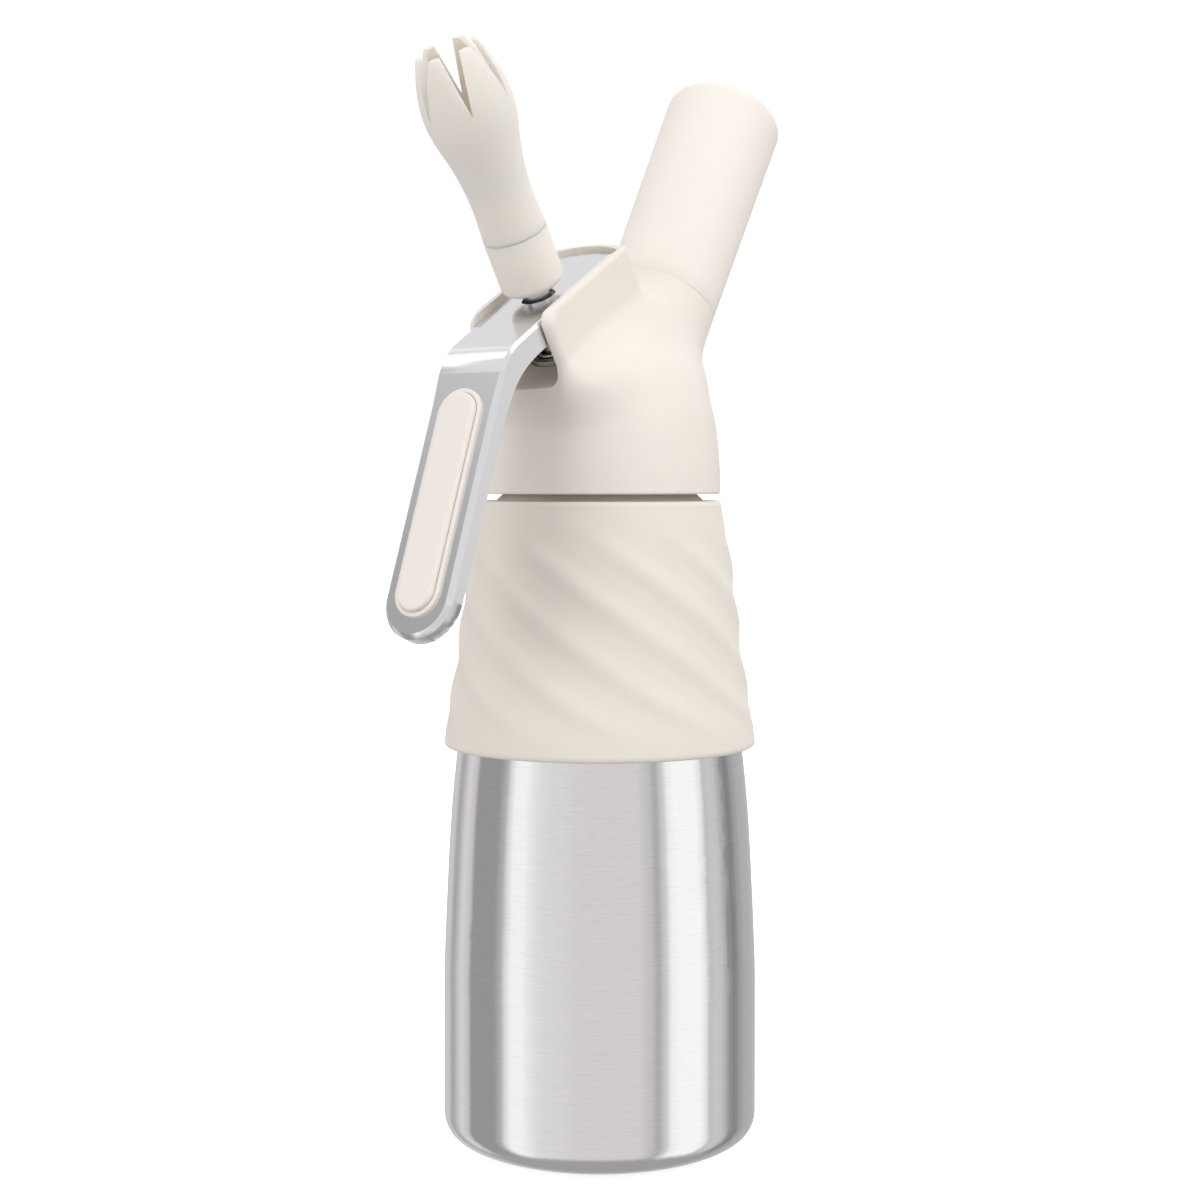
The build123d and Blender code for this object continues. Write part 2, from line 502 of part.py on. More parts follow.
tip_in = [(r - TIP_WALL, z) for r, z in TIP_OUT]
tip_in = [(p[0], p[1]) for p in tip_in if p[1] > 80]
tip = turned([
    Line((SPIGOT_R + 0.06, 0, ADP_S1 + 0.02), (TIP_OUT[0][0] - 0.3, 0, ADP_S1 + 0.02)),
    Line((TIP_OUT[0][0] - 0.3, 0, ADP_S1 + 0.02), (TIP_OUT[0][0], 0, TIP_OUT[0][1])),
    Spline(*xz(TIP_OUT), tangents=[(-0.06, 0, 1), (-0.40, 0, 1)]),
    Line((TIP_OUT[-1][0], 0, TIP_OUT[-1][1]), (tip_in[-1][0], 0, tip_in[-1][1])),
    Spline(*xz([*tip_in[::-1], (5.0, 77.0), (3.6, 74.4)]), tangents=[(0.40, 0, -1), (-0.3, 0, -1)]),
    Line((3.6, 0, 74.4), (3.6, 0, 73.9)),
    Line((3.6, 0, 73.9), (SPIGOT_R + 0.06, 0, 73.9)),
    Line((SPIGOT_R + 0.06, 0, 73.9), (SPIGOT_R + 0.06, 0, ADP_S1 + 0.02)),
])
top_s = TIP_OUT[-1][1]
half = SLOT_HALF
vee = extrude(make_face(Polyline((-half, 0, top_s), (-0.12, 0, top_s - SLOT_DEPTH), (0.12, 0, top_s - SLOT_DEPTH),
                                 (half, 0, top_s), (half, 0, top_s + 4), (-half, 0, top_s + 4), close=True)),
              amount=20, dir=(0, -1, 0))
for i in range(TIP_SLOTS):
    tip = tip - Rot(0, 0, SLOT_PHASE + 60 * i) * vee
keep("decorator_tip", noz * tip)

# ---------------------------------------------------------------- charger side
socket = cyl(SOCKET_R + 0.4, SOCKET_S0, SEAM_S - 0.2) + cyl(SOCKET_R, SEAM_S - 0.3, SOCKET_S1)
socket = socket - cyl(2.6, SOCKET_S0 - 1, 45) - cyl(4.75, 44.2, SOCKET_S1 + 1) - cone(4.75, 9.9, 57.0, SOCKET_S1 + 0.01)
sr = helical_ridge(SOCKET_R, SOCKET_CREST_R, 1.75, 53.2, 59.2, foot=0.55, tip=0.2, sink=0.2)
fused = socket + sr
if len(fused.solids()) == 1 and fused.is_valid:
    socket = fused
else:
    print("socket thread left plain")
keep("charger_socket", hol * socket)
pin_s = cyl(4.7, 44.2, 46.0) + cyl(1.25, 40.0, 49.6) + cone(1.25, 0.35, 49.6, 50.6)
pin_s = pin_s - cyl(0.5, 39, 49.2) - (Pos(0, 0, 49.0) * Rot(0, 90, 0) * Cylinder(0.35, 6))
keep("piercing_pin", hol * pin_s)
keep("charger_seal", hol * tube(4.7, 1.6, 46.02, 48.3))
keep("check_sleeve", hol * tube(2.3, 1.27, 40.2, 43.8))

hs = cone(BRANCH_R, HOL_R_END, SEAM_S + 0.12, HOL_END_S)
hs = fillet(hs.edges().group_by(Axis.Z)[-1], HOL_FILLET)
hs = hs - cyl(13.4, SEAM_S - 1, 64.5) - cyl(11.5, 60, LINER_S1 + 0.05)
keep("holder_shell", hol * hs)
hl = cyl(13.38, LINER_S0, 64.45) + cyl(11.48, 64.4, LINER_S1)
hl = hl - cyl(12.0, LINER_S0 - 1, 61.5) - cyl(9.65, 60, 114.3)
keep("holder_liner", hol * hl)

cz = CHG_TIP_S
charger_wire = [
    Line((1.6, 0, cz + 3.2), (1.6, 0, cz)),
    Line((1.6, 0, cz), (NECK_CHG_R - 0.5, 0, cz)),
    Line((NECK_CHG_R - 0.5, 0, cz), (NECK_CHG_R, 0, cz + 0.5)),
    Line((NECK_CHG_R, 0, cz + 0.5), (NECK_CHG_R, 0, cz + 8.5)),
    Spline((NECK_CHG_R, 0, cz + 8.5), (6.4, 0, cz + 13.2), (CHG_R, 0, cz + 18.6), tangents=[(0, 0, 1), (0, 0, 1)]),
    Line((CHG_R, 0, cz + 18.6), (CHG_R, 0, cz + CHG_LEN - CHG_R)),
    ThreePointArc((CHG_R, 0, cz + CHG_LEN - CHG_R), (CHG_R * k, 0, cz + CHG_LEN - CHG_R * (1 - k)), (0, 0, cz + CHG_LEN)),
    Line((0, 0, cz + CHG_LEN), (0, 0, cz + 3.2)),
    Line((0, 0, cz + 3.2), (1.6, 0, cz + 3.2)),
]
keep("gas_charger", hol * turned(charger_wire))

# ---------------------------------------------------------------- write
for name, shape in parts.items():
    export_step(shape, f"parts/{name}.step")
    print(f"{name:16s} vol {shape.volume:10.1f}  valid {shape.is_valid}")
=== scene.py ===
"""Whipped cream dispenser: the looks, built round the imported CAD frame.

Everything is in millimetres while it is being worked out and is scaled to metres
when a mesh is made. +Z is up, the lever and the tip are at -Y, the charger
holder leans towards +Y.
"""
import bpy
import bmesh
import json
import math
import numpy as np
from mathutils import Vector, Matrix


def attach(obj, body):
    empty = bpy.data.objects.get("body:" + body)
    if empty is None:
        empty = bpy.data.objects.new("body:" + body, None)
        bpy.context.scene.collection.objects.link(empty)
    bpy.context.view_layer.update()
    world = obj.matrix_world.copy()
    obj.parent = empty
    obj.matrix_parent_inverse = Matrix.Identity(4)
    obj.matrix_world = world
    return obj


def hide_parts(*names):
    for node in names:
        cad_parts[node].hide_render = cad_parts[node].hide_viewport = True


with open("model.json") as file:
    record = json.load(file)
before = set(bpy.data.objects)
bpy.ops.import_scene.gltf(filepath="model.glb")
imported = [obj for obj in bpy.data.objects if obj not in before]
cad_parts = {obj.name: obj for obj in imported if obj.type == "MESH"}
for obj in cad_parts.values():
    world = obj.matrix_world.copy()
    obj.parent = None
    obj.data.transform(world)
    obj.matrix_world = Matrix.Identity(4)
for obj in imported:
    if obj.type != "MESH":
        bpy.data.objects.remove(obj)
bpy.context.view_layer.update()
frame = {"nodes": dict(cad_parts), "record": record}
scene = bpy.context.scene
nodes = frame["nodes"]
MM = 0.001

# ------------------------------------------------------------------ axes
ALPHA, NZ = math.radians(33.5), 179.45
BETA, HY, HZ = math.radians(32.15), 1.22, 179.25
SA, CA, SB, CB = math.sin(ALPHA), math.cos(ALPHA), math.sin(BETA), math.cos(BETA)


def noz(p):
    """x, q (up the slope) and s (along the nozzle axis) of points in mm."""
    u, z = -p[..., 1], p[..., 2] - NZ
    return p[..., 0], -u * CA + z * SA, u * SA + z * CA


def hol(p):
    """Distance from the holder axis, and s along it."""
    y, z = p[..., 1] - HY, p[..., 2] - HZ
    return np.hypot(p[..., 0], y * CB - z * SB), y * SB + z * CB


# ------------------------------------------------------------------ meshes
def mesh_object(name, verts, faces, material, sharp=35.0):
    """A smooth-shaded object from vertices in mm and faces, with sharp edges by angle."""
    me = bpy.data.meshes.new(name)
    verts = np.asarray(verts, float) * MM
    if isinstance(faces, np.ndarray):
        me.vertices.add(len(verts))
        me.vertices.foreach_set("co", verts.ravel().astype(np.float32))
        n = faces.shape[1]
        me.loops.add(faces.size)
        me.polygons.add(len(faces))
        me.loops.foreach_set("vertex_index", faces.ravel().astype(np.int32))
        me.polygons.foreach_set("loop_start", np.arange(0, faces.size, n, dtype=np.int32))
        me.update(calc_edges=True)
        me.validate()
    else:
        me.from_pydata([tuple(v) for v in verts], [], faces)
        me.validate()
    me.polygons.foreach_set("use_smooth", [True] * len(me.polygons))
    me.set_sharp_from_angle(angle=math.radians(sharp))
    ob = bpy.data.objects.new(name, me)
    scene.collection.objects.link(ob)
    me.materials.append(material)
    return ob


def lathe(profile, n=256, closed=True):
    """Vertices and quads of a closed profile (r, z) turned about Z. Points on the axis are allowed."""
    prof = np.asarray(profile, float)
    th = np.linspace(0, 2 * math.pi, n, endpoint=False)
    v = np.stack([prof[:, 0, None] * np.cos(th), prof[:, 0, None] * np.sin(th),
                  np.broadcast_to(prof[:, 1, None], (len(prof), n))], -1).reshape(-1, 3)
    m = len(prof)
    rows = m if closed else m - 1
    i = np.arange(rows)[:, None]
    j = np.arange(n)[None, :]
    i2, j2 = (i + 1) % m, (j + 1) % n
    f = np.stack([i * n + j, i * n + j2, i2 * n + j2, i2 * n + j], -1).reshape(-1, 4)
    return v, f


def spline(points, per=8, t0=None, t1=None):
    """A smooth curve through the points (Catmull-Rom, chord-length parameters)."""
    P = np.asarray(points, float)
    a = P[0] - (P[1] - P[0]) if t0 is None else P[0] - np.asarray(t0, float) * np.linalg.norm(P[1] - P[0])
    b = P[-1] + (P[-1] - P[-2]) if t1 is None else P[-1] + np.asarray(t1, float) * np.linalg.norm(P[-1] - P[-2])
    Q = np.vstack([a, P, b])
    out = []
    for k in range(1, len(Q) - 2):
        p0, p1, p2, p3 = Q[k - 1:k + 3]
        d0, d1, d2 = (max(np.linalg.norm(x), 1e-9) for x in (p1 - p0, p2 - p1, p3 - p2))
        m1 = ((p1 - p0) / d0 * d1 + (p2 - p1) / d1 * d0) / (d0 + d1) * d1
        m2 = ((p2 - p1) / d1 * d2 + (p3 - p2) / d2 * d1) / (d1 + d2) * d1
        for t in np.arange(per) / per:
            h = (2 * t**3 - 3 * t**2 + 1, t**3 - 2 * t**2 + t, -2 * t**3 + 3 * t**2, t**3 - t**2)
            out.append(h[0] * p1 + h[1] * m1 + h[2] * p2 + h[3] * m2)
    out.append(P[-1])
    return np.array(out)


# ------------------------------------------------------------------ node helpers
def new_material(name):
    m = bpy.data.materials.new(name)
    m.use_nodes = True
    nt = m.node_tree
    nt.nodes.clear()
    out = nt.nodes.new("ShaderNodeOutputMaterial")
    bsdf = nt.nodes.new("ShaderNodeBsdfPrincipled")
    nt.links.new(bsdf.outputs["BSDF"], out.inputs["Surface"])
    return m, nt, bsdf


def node(nt, kind, **props):
    n = nt.nodes.new(kind)
    for k, v in props.items():
        if k in n.inputs:
            n.inputs[k].default_value = v
        else:
            setattr(n, k, v)
    return n


def object_coords(nt, scale=(1, 1, 1), rotation=(0, 0, 0), location=(0, 0, 0)):
    tc = node(nt, "ShaderNodeTexCoord")
    mp = node(nt, "ShaderNodeMapping")
    mp.inputs["Scale"].default_value = scale
    mp.inputs["Rotation"].default_value = rotation
    mp.inputs["Location"].default_value = location
    nt.links.new(tc.outputs["Object"], mp.inputs["Vector"])
    return mp.outputs["Vector"]


def noise(nt, vec, scale, detail=2.0, rough=0.5):
    n = node(nt, "ShaderNodeTexNoise")
    n.inputs["Scale"].default_value = scale
    n.inputs["Detail"].default_value = detail
    n.inputs["Roughness"].default_value = rough
    nt.links.new(vec, n.inputs["Vector"])
    return n.outputs["Fac"]


def remap(nt, val, a, b, lo=0.0, hi=1.0):
    n = node(nt, "ShaderNodeMapRange")
    n.inputs["From Min"].default_value = lo
    n.inputs["From Max"].default_value = hi
    n.inputs["To Min"].default_value = a
    n.inputs["To Max"].default_value = b
    nt.links.new(val, n.inputs["Value"])
    return n.outputs["Result"]


def mix_colours(nt, fac, c0, c1):
    n = node(nt, "ShaderNodeMix", data_type="RGBA")
    n.inputs[6].default_value = (*c0, 1)
    n.inputs[7].default_value = (*c1, 1)
    nt.links.new(fac, n.inputs[0])
    return n.outputs[2]


def bump(nt, height, bsdf, strength, distance):
    b = node(nt, "ShaderNodeBump")
    b.inputs["Strength"].default_value = strength
    b.inputs["Distance"].default_value = distance
    nt.links.new(height, b.inputs["Height"])
    nt.links.new(b.outputs["Normal"], bsdf.inputs["Normal"])
    return b


def lin(c):
    c = [x / 255 for x in c]
    return tuple(x / 12.92 if x <= 0.04045 else ((x + 0.055) / 1.055) ** 2.4 for x in c)


def plastic(name, colour, rough=0.36, grain=0.0, vary=0.015, sub=0.0):
    """Moulded satin plastic: spark-eroded grain, faint tone drift, worn-in gloss patches."""
    m, nt, b = new_material(name)
    v = object_coords(nt)
    drift = noise(nt, v, 28.0, 3.0)
    c0 = tuple(max(0, x * (1 - vary)) for x in colour)
    c1 = tuple(min(1, x * (1 + vary)) for x in colour)
    nt.links.new(mix_colours(nt, drift, c0, c1), b.inputs["Base Color"])
    gloss = noise(nt, v, 140.0, 4.0, 0.6)
    nt.links.new(remap(nt, gloss, rough - 0.05, rough + 0.06), b.inputs["Roughness"])
    fine = noise(nt, v, 3800.0, 2.0, 0.6)
    bump(nt, fine, b, 0.35 if grain == 0 else grain, 0.00002)
    b.inputs["IOR"].default_value = 1.46
    if sub:
        b.inputs["Subsurface Weight"].default_value = sub
        b.inputs["Subsurface Radius"].default_value = (1.0, 0.85, 0.72)
        b.inputs["Subsurface Scale"].default_value = 0.003
    return m


def metal(name, colour, rough=0.2, streak=(1, 1, 14), streak_scale=160.0, amount=0.03, strength=0.06, grain=0.03,
          aniso=0.0):
    """Metal with fine drawn or turned lines, which lie across the axis that streak stretches."""
    m, nt, b = new_material(name)
    b.inputs["Metallic"].default_value = 1.0
    v = object_coords(nt, scale=streak)
    coarse = noise(nt, v, streak_scale, 4.0, 0.7)
    fine = noise(nt, v, streak_scale * 5.0, 3.0, 0.7)
    w = object_coords(nt)
    cloud = noise(nt, w, 60.0, 3.0)
    both = node(nt, "ShaderNodeMath", operation="ADD")
    nt.links.new(coarse, both.inputs[0])
    nt.links.new(fine, both.inputs[1])
    lines = both.outputs[0]
    n = node(nt, "ShaderNodeMapRange")
    n.inputs["From Min"].default_value = 0.7
    n.inputs["From Max"].default_value = 1.3
    nt.links.new(lines, n.inputs["Value"])
    c0 = tuple(x * (1 - grain) for x in colour)
    c1 = tuple(min(1, x * (1 + grain)) for x in colour)
    nt.links.new(mix_colours(nt, n.outputs["Result"], c0, c1), b.inputs["Base Color"])
    r = node(nt, "ShaderNodeMath", operation="MULTIPLY_ADD")
    nt.links.new(n.outputs["Result"], r.inputs[0])
    r.inputs[1].default_value = amount
    nt.links.new(remap(nt, cloud, rough - 0.6 * amount, rough - 0.4 * amount), r.inputs[2])
    nt.links.new(r.outputs[0], b.inputs["Roughness"])
    bump(nt, lines, b, strength, 0.00003)
    if aniso:
        b.inputs["Anisotropic"].default_value = aniso
    return m


def brushed(name, colour, rough):
    """Polished sheet steel, turned in its making: a faint even grain, and sparse short strokes lying round it."""
    m, nt, b = new_material(name)
    b.inputs["Metallic"].default_value = 1.0
    v = object_coords(nt, scale=(1, 1, 15))
    grain = noise(nt, v, 420.0, 3.0, 0.7)
    strokes = noise(nt, v, 165.0, 1.0, 0.4)
    other = noise(nt, object_coords(nt, scale=(1, 1, 13), location=(3.0, 1.7, 0.4)), 190.0, 1.0, 0.4)
    up = remap(nt, strokes, 0.0, 1.0, 0.60, 0.70)
    down = remap(nt, other, 0.0, 1.0, 0.61, 0.71)
    base = mix_colours(nt, grain, tuple(x * 0.985 for x in colour), tuple(min(1, x * 1.015) for x in colour))
    for fac, c in ((up, tuple(min(1, x * 1.035) for x in colour)), (down, tuple(x * 0.955 for x in colour))):
        n = node(nt, "ShaderNodeMix", data_type="RGBA")
        nt.links.new(fac, n.inputs[0])
        nt.links.new(base, n.inputs[6])
        n.inputs[7].default_value = (*c, 1)
        base = n.outputs[2]
    nt.links.new(base, b.inputs["Base Color"])
    cloud = noise(nt, object_coords(nt), 50.0, 3.0)
    nt.links.new(remap(nt, cloud, rough - 0.012, rough + 0.012), b.inputs["Roughness"])
    both = node(nt, "ShaderNodeMath", operation="MULTIPLY_ADD")
    nt.links.new(up, both.inputs[0])
    both.inputs[1].default_value = 0.5
    nt.links.new(grain, both.inputs[2])
    bump(nt, both.outputs[0], b, 0.024, 0.00003)
    return m


def rubber(name, colour, rough=0.62):
    m, nt, b = new_material(name)
    v = object_coords(nt)
    n1 = noise(nt, v, 90.0, 4.0)
    c0 = tuple(x * 0.97 for x in colour)
    nt.links.new(mix_colours(nt, n1, c0, colour), b.inputs["Base Color"])
    n2 = noise(nt, v, 260.0, 3.0)
    nt.links.new(remap(nt, n2, rough - 0.05, rough + 0.07), b.inputs["Roughness"])
    n3 = noise(nt, v, 3000.0, 3.0, 0.7)
    bump(nt, n3, b, 0.4, 0.00003)
    b.inputs["IOR"].default_value = 1.42
    b.inputs["Sheen Weight"].default_value = 0.12
    b.inputs["Sheen Roughness"].default_value = 0.5
    return m


CREAM = (0.872, 0.812, 0.742)
M = {
    "steel_bottle": brushed("steel_bottle", (0.888, 0.878, 0.884), 0.08),
    "silicone_sleeve": rubber("silicone_sleeve", (0.842, 0.785, 0.708), 0.62),
    "gasket": rubber("gasket", (0.42, 0.42, 0.40), 0.55),
    "head_plastic": plastic("head_plastic", CREAM, 0.40),
    "holder_plastic": plastic("holder_plastic", (0.905, 0.846, 0.780), 0.38),
    "tip_plastic": plastic("tip_plastic", (0.872, 0.812, 0.748), 0.42, sub=0.85),
    "pad_plastic": plastic("pad_plastic", (0.880, 0.830, 0.765), 0.45),
    "liner_metal": metal("liner_metal", (0.80, 0.80, 0.81), 0.24, (1, 1, 12), 300.0, 0.05, 0.1),
    "valve_steel": metal("valve_steel", (0.70, 0.69, 0.68), 0.32, (1, 1, 10), 400.0, 0.05, 0.1),
    "spring_steel": metal("spring_steel", (0.74, 0.72, 0.70), 0.48, (1, 1, 1), 900.0, 0.06, 0.15),
    "seal_rubber": rubber("seal_rubber", (0.018, 0.018, 0.018), 0.5),
    "lever_steel": metal("lever_steel", (0.90, 0.895, 0.91), 0.14, (1, 10, 10), 260.0, 0.03, 0.05, 0.012),
    "plated_brass": metal("plated_brass", (0.83, 0.80, 0.74), 0.15, (1, 1, 10), 400.0, 0.04, 0.1),
    "charger_steel": metal("charger_steel", (0.74, 0.74, 0.75), 0.22, (1, 10, 10), 300.0, 0.05, 0.1),
}
SLOT_OF = {p["node"]: p["material_slot"] for p in frame["record"]["subparts"]}
for name, ob in nodes.items():
    ob.data.materials.clear()
    ob.data.materials.append(M[SLOT_OF[name]])


def soften(name, width=0.15, angle=30, segments=2):
    """Real parts have no knife edges: a fine bevel on the node's sharp edges, as modifiers."""
    ob = nodes[name]
    w = ob.modifiers.new("join", "WELD")
    w.merge_threshold = 1e-6
    b = ob.modifiers.new("soft_edges", "BEVEL")
    b.width = width * MM
    b.segments = segments
    b.limit_method = "ANGLE"
    b.angle_limit = math.radians(angle)
    b.harden_normals = True
    b.use_clamp_overlap = True
    return ob


# ------------------------------------------------------------------ implicit solids
def rmax(a, b, r):
    """Intersection of two solids with its edge rounded to radius r."""
    r = np.maximum(r, 1e-6)
    u, v = np.maximum(a + r, 0), np.maximum(b + r, 0)
    return np.minimum(-r, np.maximum(a, b)) + np.sqrt(u * u + v * v)


def smin(a, b, k):
    """Union of two solids that flow into each other over about k."""
    h = np.maximum(k - np.abs(a - b), 0)
    return np.minimum(a, b) - h * h / (4 * np.maximum(k, 1e-6))


def step(x, a, b):
    t = np.clip((x - a) / (b - a), 0, 1)
    return t * t * (3 - 2 * t)


def table_of(profile, r1, z0, z1, h=0.12):
    """Signed distance to a turned solid, looked up from a table in r, z."""
    P = np.asarray(profile, float)
    A, B = P, np.roll(P, -1, 0)
    rs = np.arange(-1.0, r1, h)
    zs = np.arange(z0, z1, h)
    R, Z = np.meshgrid(rs, zs, indexing="ij")
    best = np.full(R.shape, 1e9)
    inside = np.zeros(R.shape, bool)
    for a, b in zip(A, B):
        ex, ez = b - a
        wx, wz = R - a[0], Z - a[1]
        t = np.clip((wx * ex + wz * ez) / (ex * ex + ez * ez + 1e-12), 0, 1)
        best = np.minimum(best, (wx - t * ex) ** 2 + (wz - t * ez) ** 2)
        if abs(ez) > 1e-12:
            hit = ((a[1] > Z) != (b[1] > Z)) & (R < ex * (Z - a[1]) / ez + a[0])
            inside ^= hit
    D = np.sqrt(best) * np.where(inside, -1, 1)

    def look(r, z):
        x = np.clip((r + 1.0) / h, 0, len(rs) - 1.001)
        y = np.clip((z - z0) / h, 0, len(zs) - 1.001)
        i, j = x.astype(int), y.astype(int)
        fx, fy = x - i, y - j
        return ((D[i, j] * (1 - fx) + D[i + 1, j] * fx) * (1 - fy)
                + (D[i, j + 1] * (1 - fx) + D[i + 1, j + 1] * fx) * fy)
    return look


def contour(f, lo, hi, h):
    """Vertices and quads of the surface f = 0 by dual contouring, which keeps sharp edges."""
    lo = np.asarray(lo, float)
    n = [int(math.ceil((b - a) / h)) + 1 for a, b in zip(lo, hi)]
    axes = [lo[d] + h * np.arange(n[d]) for d in range(3)]
    F = np.empty(n, np.float32)
    for i in range(n[0]):
        Y, Z = np.meshgrid(axes[1], axes[2], indexing="ij")
        F[i] = f(np.stack([np.full(Y.shape, axes[0][i]), Y, Z], -1))
    inside = F < 0
    quads, pts, nrm, cells_all = [], [], [], []
    m = [k - 1 for k in n]
    for d in range(3):
        a = [slice(None)] * 3
        b = [slice(None)] * 3
        a[d], b[d] = slice(0, -1), slice(1, None)
        cut = np.argwhere(inside[tuple(a)] != inside[tuple(b)])
        e1, e2 = (d + 1) % 3, (d + 2) % 3
        ok = (cut[:, e1] > 0) & (cut[:, e1] < n[e1] - 1) & (cut[:, e2] > 0) & (cut[:, e2] < n[e2] - 1)
        cut = cut[ok]
        p0 = lo + h * cut
        t0, t1 = np.zeros(len(cut)), np.ones(len(cut))
        nxt = cut.copy()
        nxt[:, d] += 1
        f0 = F[tuple(cut.T)].astype(float)
        f1 = F[tuple(nxt.T)].astype(float)
        neg = f0 < 0
        for _ in range(5):
            t = np.clip(t0 + (t1 - t0) * f0 / (f0 - f1), t0 + 0.02 * (t1 - t0), t1 - 0.02 * (t1 - t0))
            p = p0.copy()
            p[:, d] += h * t
            ft = f(p)
            same = (ft < 0) == neg
            t0, f0 = np.where(same, t, t0), np.where(same, ft, f0)
            t1, f1 = np.where(same, t1, t), np.where(same, f1, ft)
        t = t0 + (t1 - t0) * f0 / (f0 - f1 + 1e-30)
        p = p0.copy()
        p[:, d] += h * t
        e = 0.02
        g = np.empty_like(p)
        for k in range(3):
            dp = np.zeros(3)
            dp[k] = e
            g[:, k] = f(p + dp) - f(p - dp)
        g /= np.linalg.norm(g, axis=1)[:, None] + 1e-12
        c = []
        for o1, o2 in ((0, 0), (-1, 0), (-1, -1), (0, -1)):
            q = cut.copy()
            q[:, e1] += o1
            q[:, e2] += o2
            c.append((q[:, 0] * m[1] + q[:, 1]) * m[2] + q[:, 2])
        c = np.stack(c, 1)
        quads.append(np.where(neg[:, None], c, c[:, ::-1]))
        pts.append(p)
        nrm.append(g)
        cells_all.append(c)
    C = np.vstack(cells_all)
    P, G = np.vstack(pts), np.vstack(nrm)
    Q = np.vstack(quads)
    ids, inv = np.unique(C, return_inverse=True)
    inv = inv.reshape(C.shape)
    N = len(ids)
    flat = inv.ravel()
    P4, G4 = np.repeat(P, 4, 0), np.repeat(G, 4, 0)
    cnt = np.bincount(flat, minlength=N).astype(float)
    mean = np.stack([np.bincount(flat, P4[:, k], N) for k in range(3)], 1) / cnt[:, None]
    d4 = (G4 * (P4 - mean[flat])).sum(1)
    A = np.empty((N, 3, 3))
    rhs = np.empty((N, 3))
    for i in range(3):
        rhs[:, i] = np.bincount(flat, G4[:, i] * d4, N)
        for j in range(i, 3):
            A[:, i, j] = A[:, j, i] = np.bincount(flat, G4[:, i] * G4[:, j], N)
    w, V = np.linalg.eigh(A)
    good = w > 0.08 * w[:, 2:3]
    y = np.einsum("nji,nj->ni", V, rhs)
    y = np.where(good, y / np.maximum(w, 1e-12), 0)
    X = mean + np.einsum("nij,nj->ni", V, y)
    cz = ids % m[2]
    cy = (ids // m[2]) % m[1]
    cx = ids // (m[1] * m[2])
    cell = lo + h * np.stack([cx, cy, cz], 1)
    X = np.clip(X, cell - 0.05 * h, cell + 1.05 * h)
    order = np.searchsorted(ids, Q)
    return X, order


# ------------------------------------------------------------------ head
SKIRT = [(31.6, 175.7), (31.35, 179.8), (31.0, 184.0), (30.5, 188.2), (29.7, 192.4),
         (28.3, 196.6), (26.2, 200.8), (22.5, 205.0), (16.0, 208.5), (0.0, 210.5)]
dome_profile = np.vstack([[(0, 171.05), (31.2, 171.05), (31.6, 171.45)],
                          spline(SKIRT, 14, t0=(0, 1), t1=(-1, 0))])
dome_sd = table_of(dome_profile, 60, 150, 262)


def arc_back(x, q, corner_x, q_corner, q_mid):
    """Distance past a back edge that bows out from its corners to its middle."""
    sag = q_mid - q_corner
    R = (corner_x**2 + sag**2) / (2 * sag)
    return np.where(q > q_mid - R, np.hypot(x, q - (q_mid - R)) - R, -R)


def head_solid(p):
    x, q, s = noz(p)
    ax = np.abs(x)
    r = np.hypot(p[..., 0], p[..., 1])
    z = p[..., 2]
    rh, sh = hol(p)
    dome = dome_sd(r, z)
    branch = np.maximum(rmax(rh - 15.42, sh - 51.2, 0.0), 8 - sh)
    rim = (s - 51.4 + 0.062 * q) / math.hypot(1, 0.062)
    block = rmax(-15.6 - q, ax - 12.8, 2.4 + 4.0 * (1 - step(s, 24.0, 35.0)))
    block = rmax(block, rim, 1.25 + 2.35 * (1 - step(q, -14.5, -8.5)))
    block = rmax(block, arc_back(x, q, 12.8, 25.4, 28.0), 1.5)
    block = np.maximum(block, 8 - s)
    low = step(z, 177.0, 203.0)
    body = smin(dome, branch, 9.5 * low + 1e-3)
    k = (2.0 + 18.0 * (1 - step(s, 29.0, 47.0))) * low + 1e-3
    body = smin(body, block, k)
    # slot between the cheeks
    half = 10.4 + 1.1 * step(q, 19.0, 21.6) * step(s, 45.5, 46.5)
    slot = rmax(rmax(ax - half, 33.4 - s, 3.0), arc_back(x, q, 10.4, 23.2, 25.85), 0.35)
    body = rmax(body, -slot, 0.22)
    # rooms inside
    body = np.maximum(body, -np.maximum(r - 28.6, z - 184.6))
    body = np.maximum(body, -np.maximum(r - 25.6, z - 187.42))
    body = np.maximum(body, -np.maximum(r - 19.5, z - 192.5))
    body = np.maximum(body, -np.maximum(np.maximum(np.hypot(x, q) - 7.0, s - 18.2), 8 - s))
    body = np.maximum(body, -np.maximum(np.maximum(np.hypot(x, q) - 7.5, s - 36), 17.7 - s))
    body = np.maximum(body, -np.maximum(np.maximum(rh - 2.6, sh - 38.5), 12 - sh))
    body = np.maximum(body, -np.maximum(np.maximum(rh - 11.5, sh - 53), 38 - sh))
    body = np.maximum(body, -np.maximum(np.hypot(q - 17.0, s - 46.6) - 1.6, ax - 11.9))
    return body


import time
t_start = time.time()
hv, hf = contour(head_solid, (-33.2, -44.9, 169.8), (33.3, 44.5, 237.5), 0.5)
print("head mesh", len(hv), "vertices", round(time.time() - t_start, 1), "s")
head = mesh_object("head_body", hv, hf, M["head_plastic"], 32)
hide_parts("head_shell")
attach(head, "head")

